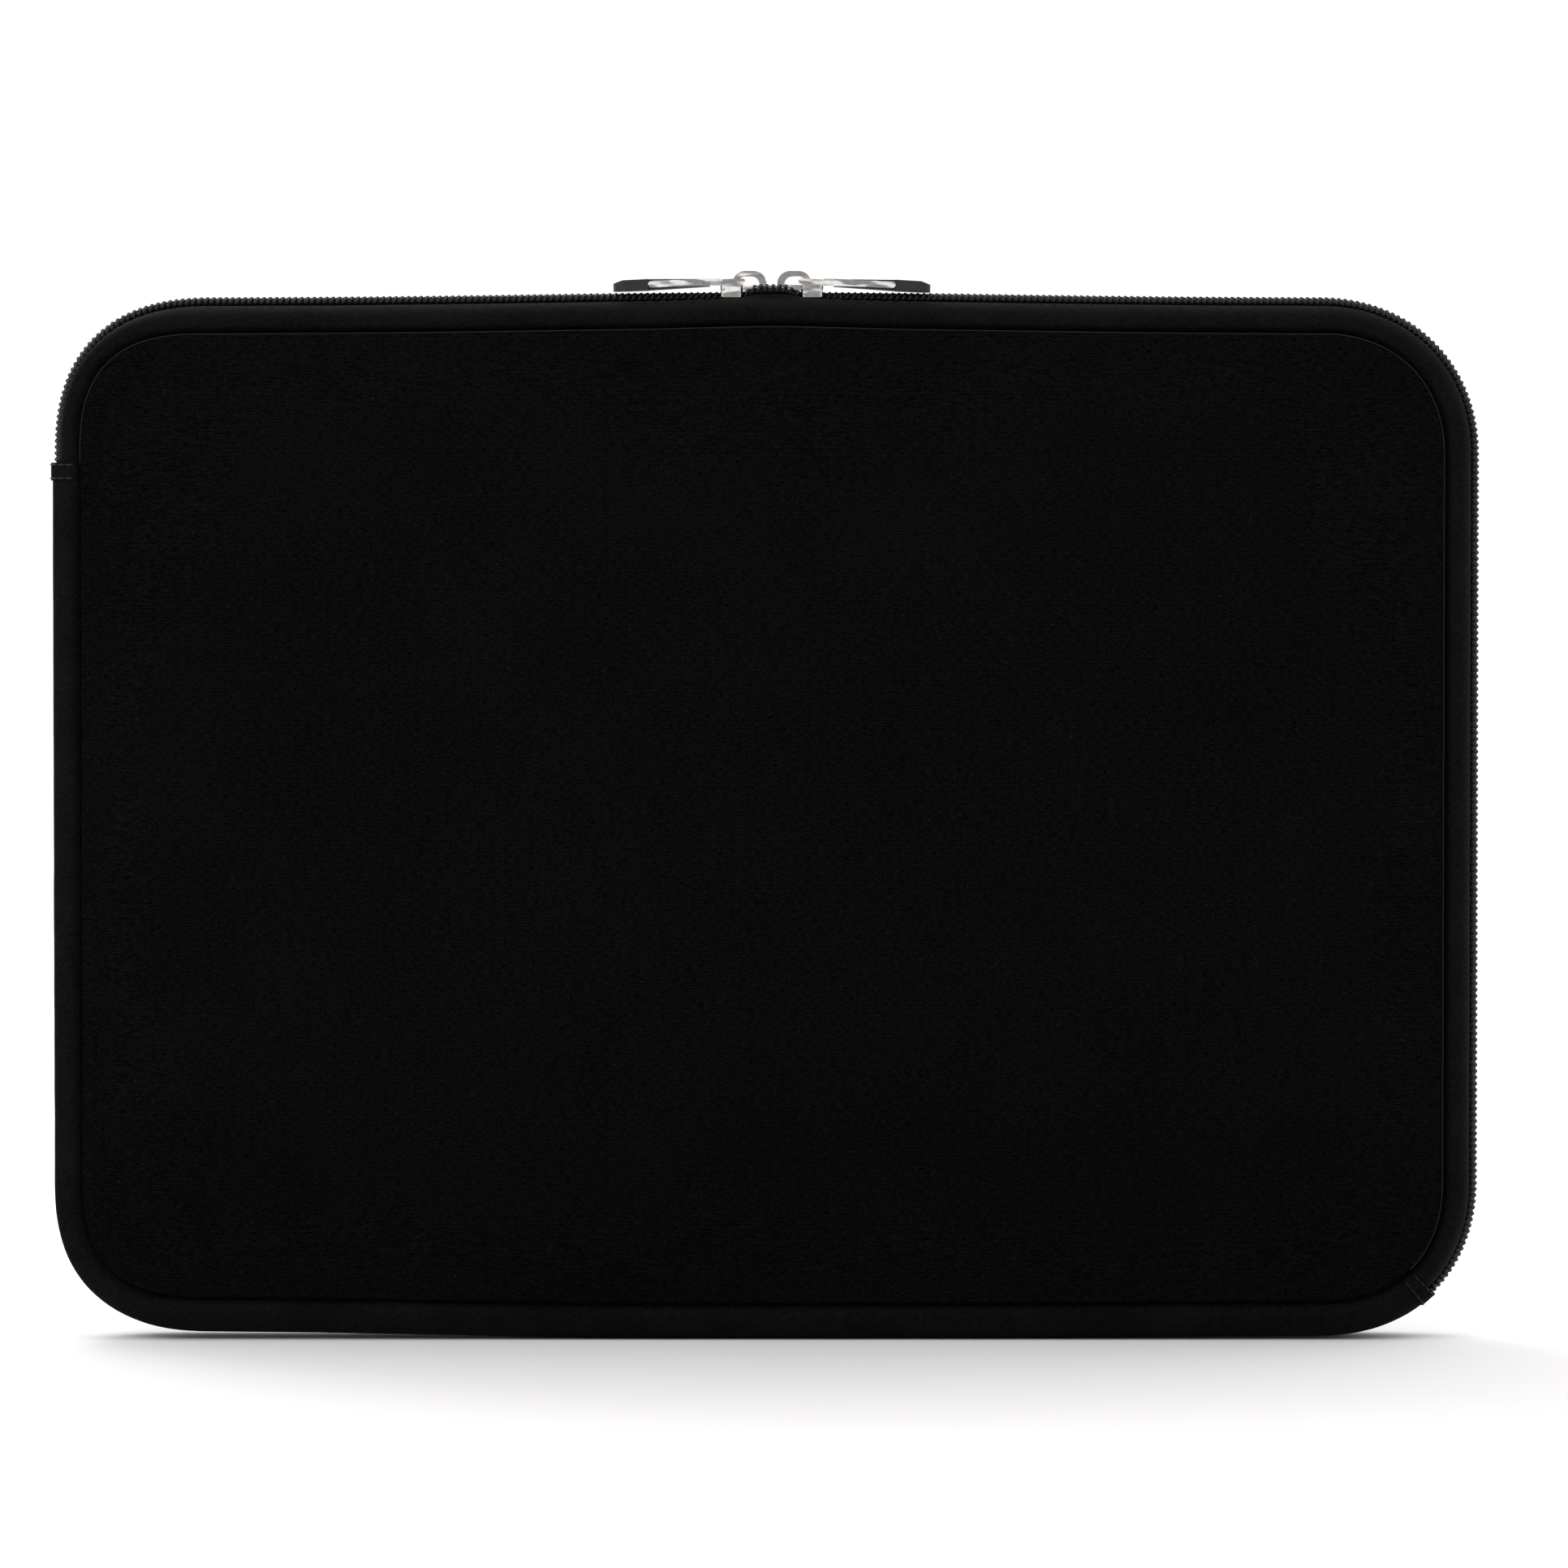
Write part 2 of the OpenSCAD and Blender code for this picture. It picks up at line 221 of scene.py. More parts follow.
def curve_through(points, each, closed=True):
    """Catmull-Rom curve through the points, with a number of steps between each two."""
    p = np.asarray(points, float)
    if closed:
        p = np.concatenate([p[-1:], p, p[:2]])
    else:
        p = np.concatenate([2 * p[:1] - p[1:2], p, 2 * p[-1:] - p[-2:-1]])
    out = []
    for i in range(1, len(p) - 2):
        for t in np.linspace(0, 1, each, endpoint=False):
            a, b, c, d = p[i - 1], p[i], p[i + 1], p[i + 2]
            out.append(0.5 * (2 * b + (c - a) * t + (2 * a - 5 * b + 4 * c - d) * t ** 2
                              + (3 * b - a - 3 * c + d) * t ** 3))
    if not closed:
        out.append(p[-2])
    return np.array(out)


def sweep(section, l0, l1, step, side, seed=0.0, uneven=0.0, lift=None):
    """A closed section of (inset, depth) points swept along the outline, with capped ends."""
    ls = np.linspace(l0, l1, max(2, int(round(abs(l1 - l0) / step)) + 1))
    p, n = OUT.at(ls)
    section = np.asarray(section, float)
    cols = len(section)
    inset = np.repeat(section[None, :, 0], len(ls), 0)
    depth = np.repeat(section[None, :, 1], len(ls), 0)
    if uneven:
        wave = ripple(ls, 0 * ls, 17, seed)[:, None] + 0.5 * ripple(ls, 0 * ls, 6, seed + 9)[:, None]
        high = np.clip((np.abs(section[None, :, 1]) - 5) / 6, 0, 1)
        depth = depth + uneven * wave * high * np.sign(depth)
        inset = inset - 0.5 * uneven * wave * (1 - high) * (np.abs(section[None, :, 1]) > 4)
    if lift is not None:
        inset = inset - parting(ls)[:, None] * np.array([lift(s, w) for s, w in section])[None, :]
    verts = np.stack([p[:, :1] - n[:, :1] * inset, side * depth, p[:, 1:] - n[:, 1:] * inset], -1)
    flip = side == REAR
    faces = rows_to_faces(len(ls), cols, flip=flip)
    first, last = list(range(cols)), list(range((len(ls) - 1) * cols, len(ls) * cols))
    faces.append(tuple(first if flip else first[::-1]))
    faces.append(tuple(last[::-1] if flip else last))
    return verts.reshape(-1, 3), faces


def tube(points, across, radius, sides=6):
    """A tube round a line of points, its rings square to it and steadied by the direction across."""
    p = np.asarray(points, float)
    along = np.gradient(p, axis=0)
    along /= np.linalg.norm(along, axis=1)[:, None]
    a = across - (across * along).sum(1)[:, None] * along
    a /= np.linalg.norm(a, axis=1)[:, None]
    b = np.cross(along, a)
    r = np.broadcast_to(np.asarray(radius, float), (len(p),))[:, None, None]
    turn = np.linspace(0, 2 * math.pi, sides, endpoint=False)
    ring = a[:, None, :] * np.cos(turn)[None, :, None] + b[:, None, :] * np.sin(turn)[None, :, None]
    verts = (p[:, None, :] + r * ring).reshape(-1, 3)
    faces = rows_to_faces(len(p), sides, flip=True)
    faces.append(tuple(range(sides)))
    faces.append(tuple(range(len(p) * sides - 1, (len(p) - 1) * sides - 1, -1)))
    return verts, faces


def gather(parts):
    """Joins several (verts, faces) into one."""
    verts, faces, count = [], [], 0
    for v, f in parts:
        faces += [tuple(i + count for i in face) for face in f]
        verts.append(v)
        count += len(v)
    return np.concatenate(verts), faces


# ---------------------------------------------------------------- materials

def shader(name, colour, rough, metallic=0.0):
    """A new material with its node tree and its Principled shader."""
    mat = bpy.data.materials.new(name)
    mat.use_nodes = True
    tree = mat.node_tree
    bsdf = tree.nodes["Principled BSDF"]
    bsdf.inputs["Base Color"].default_value = (*colour, 1)
    bsdf.inputs["Roughness"].default_value = rough
    bsdf.inputs["Metallic"].default_value = metallic
    return mat, tree, bsdf


def node(tree, kind, **values):
    """A new shader node, with each value set on the input of that name, or else on the node itself."""
    made = tree.nodes.new(kind)
    for key, value in values.items():
        if key in made.inputs:
            made.inputs[key].default_value = value
        else:
            setattr(made, key, value)
    return made


def place_coords(tree, scale=(1, 1, 1), turn=(0, 0, 0)):
    """Object coordinates in millimetres, stretched and turned."""
    coords = node(tree, "ShaderNodeTexCoord")
    mapping = node(tree, "ShaderNodeMapping")
    mapping.inputs["Scale"].default_value = [1 / MM * s for s in scale]
    mapping.inputs["Rotation"].default_value = turn
    tree.links.new(coords.outputs["Object"], mapping.inputs["Vector"])
    return mapping.outputs["Vector"]


def waves(tree, vector, pitch, direction, distortion=0.0, detail=1.0):
    """Parallel ridges that repeat every pitch millimetres."""
    wave = node(tree, "ShaderNodeTexWave", Scale=2 * math.pi / 20 / pitch, Distortion=distortion,
                Detail=detail)
    wave.bands_direction = direction
    wave.inputs["Detail Scale"].default_value = 2.0
    tree.links.new(vector, wave.inputs["Vector"])
    return wave.outputs["Fac"]


def grains(tree, vector, size, detail=2.0, rough=0.5):
    """Even noise with marks of about the given size."""
    grain = node(tree, "ShaderNodeTexNoise", Scale=1 / size, Detail=detail, Roughness=rough)
    tree.links.new(vector, grain.inputs["Vector"])
    return grain.outputs["Fac"]


def combine(tree, kind, a, b):
    """One arithmetic step between two sockets or numbers."""
    math_node = node(tree, "ShaderNodeMath", operation=kind)
    for socket, value in zip(math_node.inputs, (a, b)):
        if isinstance(value, (int, float)):
            socket.default_value = value
        else:
            tree.links.new(value, socket)
    return math_node.outputs[0]


def mixture(tree, *parts):
    """Sum of (socket, share) pairs, each socket times its share."""
    total = 0.0
    for socket, share in parts:
        total = combine(tree, "ADD", combine(tree, "MULTIPLY", socket, share), total)
    return total


def ramp(tree, factor, stops):
    """Colours at the given places between 0 and 1."""
    made = node(tree, "ShaderNodeValToRGB")
    while len(made.color_ramp.elements) < len(stops):
        made.color_ramp.elements.new(0.5)
    for element, (at, colour) in zip(made.color_ramp.elements, stops):
        element.position = at
        element.color = (*colour, 1) if len(colour) == 3 else colour
    tree.links.new(factor, made.inputs["Fac"])
    return made.outputs["Color"]


def grey(value):
    """A grey with a trace of blue."""
    return (value, value, value * 1.08)


def relief(tree, bsdf, height, strength, distance):
    """Bumps on the shader, from a height that stands for distance millimetres."""
    bump = node(tree, "ShaderNodeBump", Strength=strength, Distance=distance * MM)
    tree.links.new(height, bump.inputs["Height"])
    tree.links.new(bump.outputs["Normal"], bsdf.inputs["Normal"])


def stretched_grains(tree, across, up, detail=2.0, rough=0.6):
    """Noise whose marks are about across wide and up high, in millimetres."""
    return grains(tree, place_coords(tree, scale=(1 / across, 1 / across, 1 / up)), 1.0, detail, rough)


def knit(name, dark, light):
    """Fine knitted face: short dashes across and upright loops, slow changes of shade, specks of lint."""
    mat, tree, bsdf = shader(name, grey(dark), 0.82)
    mm = place_coords(tree)
    dashes = stretched_grains(tree, 1.5, 0.24)
    loops = stretched_grains(tree, 0.3, 0.9)
    ribs = waves(tree, mm, 0.5, "Z", distortion=3.0, detail=3.0)
    blotch = grains(tree, mm, 34.0, detail=3.0)
    cloth = mixture(tree, (dashes, 0.55), (loops, 0.3), (ribs, 0.15))
    tone = mixture(tree, (cloth, 0.93), (blotch, 0.07))
    colour = ramp(tree, tone, [(0.4, grey(dark)), (0.6, grey(light))])
    lint = ramp(tree, grains(tree, mm, 0.42, detail=0.0), [(0.86, (0, 0, 0)), (0.9, (0.02, 0.02, 0.022))])
    speckled = node(tree, "ShaderNodeMix", data_type="RGBA", blend_type="ADD")
    speckled.inputs["Factor"].default_value = 1.0
    tree.links.new(colour, speckled.inputs[6])
    tree.links.new(lint, speckled.inputs[7])
    tree.links.new(speckled.outputs[2], bsdf.inputs["Base Color"])
    tree.links.new(ramp(tree, cloth, [(0.3, (0.7,) * 3), (0.7, (0.92,) * 3)]), bsdf.inputs["Roughness"])
    bsdf.inputs["Sheen Weight"].default_value = 0.002
    bsdf.inputs["Sheen Roughness"].default_value = 0.45
    bsdf.inputs["Specular IOR Level"].default_value = 0.015
    relief(tree, bsdf, cloth, 0.5, 0.2)
    return mat


def twill(name, dark, light):
    """Knit cut on the bias: short slanting wales that wrap over the edge of the sleeve."""
    mat, tree, bsdf = shader(name, grey(dark), 0.78)
    slant = (0.25, math.radians(-52), 0.15)
    coords = node(tree, "ShaderNodeTexCoord")
    turned = node(tree, "ShaderNodeMapping")
    turned.inputs["Rotation"].default_value = slant
    tree.links.new(coords.outputs["Object"], turned.inputs["Vector"])
    stretch = node(tree, "ShaderNodeMapping")
    stretch.inputs["Scale"].default_value = [1 / MM / 0.34, 1 / MM / 0.6, 1 / MM / 1.9]
    tree.links.new(turned.outputs["Vector"], stretch.inputs["Vector"])
    wales = grains(tree, stretch.outputs["Vector"], 1.0, detail=2.0, rough=0.55)
    mm = place_coords(tree, turn=slant)
    ribs = waves(tree, mm, 0.55, "X", distortion=3.0, detail=3.0)
    speck = grains(tree, mm, 0.45, detail=3.0, rough=0.7)
    blotch = grains(tree, mm, 14.0)
    cloth = mixture(tree, (wales, 0.6), (ribs, 0.15), (speck, 0.25))
    tone = mixture(tree, (cloth, 0.8), (blotch, 0.2))
    tree.links.new(ramp(tree, tone, [(0.34, grey(dark)), (0.66, grey(light))]), bsdf.inputs["Base Color"])
    bsdf.inputs["Sheen Weight"].default_value = 0.004
    bsdf.inputs["Sheen Roughness"].default_value = 0.4
    bsdf.inputs["Specular IOR Level"].default_value = 0.03
    relief(tree, bsdf, cloth, 0.6, 0.25)
    return mat


def plain_weave(name, dark, light, pitch):
    """Crossed threads, over and under, at the given pitch."""
    mat, tree, bsdf = shader(name, grey(dark), 0.7)
    mm = place_coords(tree)
    warp = waves(tree, mm, pitch, "X", distortion=0.6)
    weft = waves(tree, mm, pitch, "Z", distortion=0.6)
    cloth = combine(tree, "MULTIPLY", warp, weft)
    fine = grains(tree, mm, 0.8, detail=3.0)
    tone = mixture(tree, (cloth, 0.7), (fine, 0.3))
    tree.links.new(ramp(tree, tone, [(0.1, grey(dark)), (0.8, grey(light))]), bsdf.inputs["Base Color"])
    bsdf.inputs["Sheen Weight"].default_value = 0.01
    bsdf.inputs["Specular IOR Level"].default_value = 0.1
    relief(tree, bsdf, cloth, 0.5, 0.1)
    return mat


def cellular(name, dark, light):
    """Cut foam: small open cells."""
    mat, tree, bsdf = shader(name, grey(dark), 0.9)
    mm = place_coords(tree)
    cells = node(tree, "ShaderNodeTexVoronoi", Scale=2.2)
    tree.links.new(mm, cells.inputs["Vector"])
    tree.links.new(ramp(tree, cells.outputs["Distance"], [(0.0, grey(dark)), (0.6, grey(light))]),
                   bsdf.inputs["Base Color"])
    relief(tree, bsdf, cells.outputs["Distance"], 0.6, 0.25)
    return mat


def thread_finish(name, dark, light):
    """Twisted sewing thread: fine slanting plies."""
    mat, tree, bsdf = shader(name, grey(dark), 0.55)
    mm = place_coords(tree, turn=(0, 0.7, 0.7))
    plies = waves(tree, mm, 0.22, "X", distortion=0.5)
    tree.links.new(ramp(tree, plies, [(0.1, grey(dark)), (0.9, grey(light))]), bsdf.inputs["Base Color"])
    bsdf.inputs["Sheen Weight"].default_value = 0.02
    bsdf.inputs["Specular IOR Level"].default_value = 0.3
    relief(tree, bsdf, plies, 0.4, 0.05)
    return mat


def moulded(name, colours, roughness, size, bump, gloss=0.5):
    """Moulded nylon or rubber: a fine skin with faint scuffs."""
    mat, tree, bsdf = shader(name, colours[0], roughness[0])
    mm = place_coords(tree)
    skin = grains(tree, mm, size, detail=4.0, rough=0.6)
    scuff = grains(tree, mm, 2.4, detail=2.0)
    tree.links.new(ramp(tree, scuff, list(zip((0.35, 0.7), colours))), bsdf.inputs["Base Color"])
    tree.links.new(ramp(tree, scuff, [(0.3, (roughness[0],) * 3), (0.7, (roughness[1],) * 3)]),
                   bsdf.inputs["Roughness"])
    bsdf.inputs["Specular IOR Level"].default_value = gloss
    relief(tree, bsdf, skin, bump, 0.04)
    return mat


def plated(name):
    """Plated die casting: a polished skin that waves along its length, with haze and fine drawn lines."""
    mat, tree, bsdf = shader(name, (0.74, 0.72, 0.69), 0.14, metallic=1.0)
    mm = place_coords(tree)
    haze = grains(tree, mm, 1.4, detail=3.0)
    lines = stretched_grains(tree, 2.5, 0.2, detail=3.0)
    waviness = stretched_grains(tree, 8.0, 2.8, detail=1.0)
    tree.links.new(ramp(tree, haze, [(0.3, (0.7, 0.685, 0.66)), (0.7, (0.9, 0.885, 0.86))]),
                   bsdf.inputs["Base Color"])
    tree.links.new(ramp(tree, lines, [(0.3, (0.08,) * 3), (0.75, (0.18,) * 3)]), bsdf.inputs["Roughness"])
    skin = mixture(tree, (waviness, 1.0), (lines, 0.004))
    relief(tree, bsdf, skin, 0.5, 0.6)
    return mat


COVER = knit("cover_knit", 0.0001, 0.0052)
EDGE = twill("edge_twill", 0.001, 0.0075)
LINING = plain_weave("lining_tricot", 0.008, 0.022, 0.5)
BINDING = plain_weave("binding_weave", 0.008, 0.02, 0.4)
PIPING = plain_weave("seam_piping", 0.006, 0.02, 0.3)
FOAM = cellular("cut_foam", 0.01, 0.035)
TAPE = plain_weave("zip_tape_weave", 0.007, 0.02, 0.35)
COIL = moulded("coil_nylon", (grey(0.002), grey(0.004)), (0.26, 0.38), 0.3, 0.15, gloss=0.28)
THREAD = thread_finish("sewing_thread", 0.003, 0.011)
# The lighter tab thread is painted light: the same stitches on the right tab take the darker sewing thread
LIT_TAB_THREAD = thread_finish("tab_thread_painted_light", 0.01, 0.035)
NICKEL = plated("plated_nickel")
RUBBER = moulded("grip_rubber", ((0.006, 0.0059, 0.0045), (0.0125, 0.0122, 0.0095)), (0.5, 0.65), 0.25, 0.3)


# ---------------------------------------------------------------- padded panels

class Grid:
    """A net of rows over the inside of the outline at one inset, finest round the corners."""

    def __init__(self, inset, rows, cols):
        p, n = OUT.at(OUT.l[:-1])
        edge = p - n * inset
        low, high = edge[:, 1].min(), edge[:, 1].max()
        xi = np.linspace(0, 1, rows)
        z = low + (high - low) * (xi - 0.9 / (2 * math.pi) * np.sin(2 * math.pi * xi))
        middle = (edge[:, 0].min() + edge[:, 0].max()) / 2
        flat = 0.02
        ends = []
        for left in (True, False):
            part = edge[(edge[:, 0] < middle) == left]
            part = part[(part[:, 1] > low + flat) & (part[:, 1] < high - flat)]
            part = part[part[:, 1].argsort()]
            ends.append(np.interp(z, part[:, 1], part[:, 0]))
        t = np.linspace(0, 1, cols)
        self.x = ends[0][:, None] + (ends[1] - ends[0])[:, None] * t[None, :]
        self.z = np.repeat(z[:, None], cols, 1)
        self.rows, self.cols = rows, cols
        bottom = [(0, j) for j in range(cols - 1)]
        right = [(i, cols - 1) for i in range(rows - 1)]
        top = [(rows - 1, j) for j in range(cols - 1, 0, -1)]
        left_side = [(i, 0) for i in range(rows - 1, 0, -1)]
        self.rim = [i * cols + j for i, j in bottom + right + top + left_side]
        flat_points = np.stack([self.x, self.z], -1).reshape(-1, 2)
        length, distance = OUT.nearest(flat_points)
        self.distance = distance.reshape(rows, cols)
        self.rim_length = length[self.rim]


NET = Grid(GRID, 120, 150)


def panel(side, outer, inner, edge):
    """A closed padded layer. outer and inner give its depth from (x, z, distance in); edge is the list of
    (inset, depth) rings from the outer face round to the inner one."""
    g = NET
    x, z = g.x, g.z
    face_out = np.stack([x, side * outer(x, z, g.distance), z], -1).reshape(-1, 3)
    face_in = np.stack([x, side * inner(x, z, g.distance), z], -1).reshape(-1, 3)
    p, n = OUT.at(g.rim_length)
    rings = []
    for inset, depth in edge:
        q = p - n * inset
        rings.append(np.stack([q[:, 0], np.full(len(q), side * depth), q[:, 1]], -1))
    count = g.rows * g.cols
    verts = np.concatenate([face_out, face_in] + rings)
    flip = side == REAR
    faces = rows_to_faces(g.rows, g.cols, wrap=False, flip=flip)
    faces += rows_to_faces(g.rows, g.cols, wrap=False, start=count, flip=not flip)
    m = len(g.rim)
    loops = [g.rim] + [list(range(2 * count + k * m, 2 * count + (k + 1) * m)) for k in range(len(edge))]
    loops.append([count + i for i in g.rim])
    for a, b in zip(loops[:-1], loops[1:]):
        for k in range(m):
            j = (k + 1) % m
            faces.append((a[k], a[j], b[j], b[k]) if flip else (a[k], b[k], b[j], a[j]))
    return verts, faces


def blow_up(seed):
    """How far a cover swells at each point of the net, in millimetres: a cloth held at the seam with its
    filling pressing from behind."""
    g = Grid(GRID, 57, 73)
    lumps = 0.35 * ripple(g.x, g.z, 30, seed + 2) * smooth(g.distance - GRID, 0, 15)
    verts = np.stack([g.x, -lumps, g.z], -1).reshape(-1, 3) * MM
    data = bpy.data.meshes.new("cover_cloth")
    data.from_pydata(verts.tolist(), [], rows_to_faces(g.rows, g.cols, wrap=False))
    cloth = bpy.data.objects.new("cover_cloth", data)
    bpy.context.scene.collection.objects.link(cloth)
    held = cloth.vertex_groups.new(name="held")
    held.add(g.rim, 1.0, "REPLACE")
    sim = cloth.modifiers.new("cloth", "CLOTH")
    sim.settings.quality = 6
    sim.settings.mass = 0.25
    sim.settings.tension_stiffness = sim.settings.compression_stiffness = 25
    sim.settings.shear_stiffness = 12
    sim.settings.bending_stiffness = 1.5
    sim.settings.shrink_min = -0.0035
    sim.settings.vertex_group_mass = "held"
    sim.settings.use_pressure = True
    sim.settings.uniform_pressure_force = 1.2
    sim.settings.effector_weights.gravity = 0
    sim.point_cache.frame_start, sim.point_cache.frame_end = 1, 24
    for step in range(1, 25):
        bpy.context.scene.frame_set(step)
    done = cloth.evaluated_get(bpy.context.evaluated_depsgraph_get())
    swell = np.array([-v.co.y for v in done.data.vertices]).reshape(g.rows, g.cols) / MM
    bpy.data.objects.remove(cloth)
    bpy.data.meshes.remove(data)
    bpy.context.scene.frame_set(1)
    part_rows, part_cols = np.linspace(0, 1, g.rows), np.linspace(0, 1, g.cols)
    wide = np.stack([np.interp(np.linspace(0, 1, NET.cols), part_cols, row) for row in swell])
    full = np.stack([np.interp(np.linspace(0, 1, NET.rows), part_rows, column) for column in wide.T]).T
    return PILLOW_LIMIT * np.tanh(full / PILLOW_LIMIT)


def crown(swell, extra=0.0):
    """Depth of a panel's outer face at the points of the net."""
    def depth(x, z, distance):
        return HALF_T - 0.12 + swell - extra
    return depth


def flat_depth(value):
    """One depth at every point of the net."""
    return lambda x, z, distance: np.full(np.shape(x), value)


# Edges of the three layers: the cover dips into the seam and turns under the foam
COVER_EDGE = [(2.2, 0.08), (1.3, 0.3), (0.8, 0.42), (0.45, 0.34), (0.2, 0.4), (0.0, 0.75), (-0.02, 1.4),
              (0.05, 2.3), (0.6, 2.35), (0.7, 1.6), (1.3, 1.1), (2.2, 0.8)]
FOAM_EDGE = [(2.3, 0.95), (1.4, 1.25), (0.85, 1.75), (0.75, 2.6), (0.9, 3.3), (1.7, 3.55)]
LINING_EDGE = [(1.6, 3.62), (0.4, 3.64), (0.1, 3.85), (0.4, 4.08), (1.6, 4.1)]


def ring_in(rings):
    """Rings of a panel's edge, given from the seam inwards and from the cover's face down."""
    return [(SEAM + 0.1 + inset, HALF_T - depth) for inset, depth in rings]


def make_panels():
    """Cover, foam and lining of the front and of the rear."""
    for side, word, seed in ((FRONT, "front", 3.1), (REAR, "rear", 8.4)):
        front = side == FRONT
        parts = ("_fixed", "_flap") if front else ("",)
        swell = blow_up(seed)
        edge = ring_in(COVER_EDGE)
        v, f = panel(side, crown(swell), crown(swell, COVER_T), edge)
        cover = soft(mesh(word + "_cover_sheet", v, f, COVER),
                     [word + "_cover" + p for p in parts], front)
        edge = ring_in(FOAM_EDGE)
        v, f = panel(side, crown(swell, COVER_T + 0.1), flat_depth(HALF_T - FOAM_IN), edge)
        foam = soft(mesh(word + "_foam_pad", v, f, FOAM),
                    [word + "_foam" + p for p in parts], front)
        edge = ring_in(LINING_EDGE)
        v, f = panel(side, flat_depth(HALF_T - LINING_OUT), flat_depth(HALF_T - LINING_IN), edge)
        lining = soft(mesh(word + "_lining_sheet", v, f, LINING),
                      [word + "_lining" + p for p in parts], front)


# ---------------------------------------------------------------- edge strips

# Sections of the strips, as (distance in from the outline, distance from the middle of the depth)
BAND = [(3.3, 5.0), (2.75, 5.0), (2.4, 5.25), (2.25, 5.9), (2.4, 6.9), (2.85, 8.1), (3.55, 9.25),
        (4.4, 10.2), (5.3, 10.8), (6.2, 11.0), (7.0, 10.8), (7.7, 10.35), (8.3, 9.75), (8.7, 9.2),
        (8.85, 8.75), (8.3, 8.85), (7.4, 9.3), (6.2, 9.45), (5.2, 8.75), (4.4, 7.7), (3.95, 6.6),
        (3.75, 5.6)]
TAPE_LINE = [(2.7, 0.75), (2.1, 0.85), (2.02, 1.4), (2.02, 3.1), (2.3, 3.75), (2.6, 4.4), (2.95, 4.85),
             (3.7, 5.0), (4.1, 5.6), (4.35, 6.5), (4.85, 7.45), (5.7, 8.35), (6.5, 8.95), (7.4, 8.95),
             (8.5, 8.45), (8.4, 8.15), (7.3, 8.65), (6.7, 8.6), (5.95, 8.05), (5.2, 7.25), (4.75, 6.35),
             (4.5, 5.4), (4.0, 4.7), (3.15, 4.4), (3.05, 3.0), (3.05, 1.4), (3.0, 0.85)]
GUSSET_OUT = [(8.85, 8.8), (8.75, 9.3), (8.35, 9.9), (7.7, 10.5), (6.9, 10.95), (5.8, 11.1), (4.4, 10.8),
              (2.9, 10.1), (1.5, 8.9), (0.6, 7.4), (0.15, 5.6), (0.02, 3.4), (0.0, 1.2)]
GUSSET_IN = [(2.2, 1.2), (2.22, 3.4), (2.35, 5.4), (2.85, 6.9), (3.7, 8.0), (4.9, 8.75), (6.2, 8.95),
             (7.4, 8.8), (8.4, 8.5)]
BIND = [(10.9, 7.65), (10.6, 7.8), (9.9, 7.82), (9.35, 7.9), (9.1, 8.2), (8.7, 8.3), (7.8, 8.35),
        (7.35, 8.15), (7.2, 7.7), (7.4, 7.35), (8.2, 7.2), (9.4, 7.2), (10.4, 7.3), (10.85, 7.45)]


def on_outline(l, inset, depth):
    """Points at lengths, insets and depths, and the direction along the outline there."""
    p, n = OUT.at(l)
    points = np.stack([p[:, 0] - n[:, 0] * inset, depth, p[:, 1] - n[:, 1] * inset], -1)
    return points, np.stack([n[:, 1], 0 * depth, -n[:, 0]], -1)


def both_sides(half):
    """Mirrors an open half section so that it runs from the front to the rear."""
    return half + [(s, -w) for s, w in reversed(half)]


def gusset_section():
    """The spine gusset, from seam to seam."""
    return curve_through(both_sides(GUSSET_OUT) + list(reversed(both_sides(GUSSET_IN))), 3)


def tab_section():
    """A strip of cloth folded over the edge just outside the gusset and the zip, tucked in at both seams."""
    rings = []
    for grow in (0.26, 0.06):
        half = [(s - grow * min(1.0, max(0.0, (11.25 - w) / 4)), w + grow * min(1.0, max(0.0, w / 6)))
                for s, w in GUSSET_OUT[2:]]
        rings.append(curve_through(both_sides(half), 3, closed=False))
    return np.concatenate([rings[0], rings[1][::-1]])


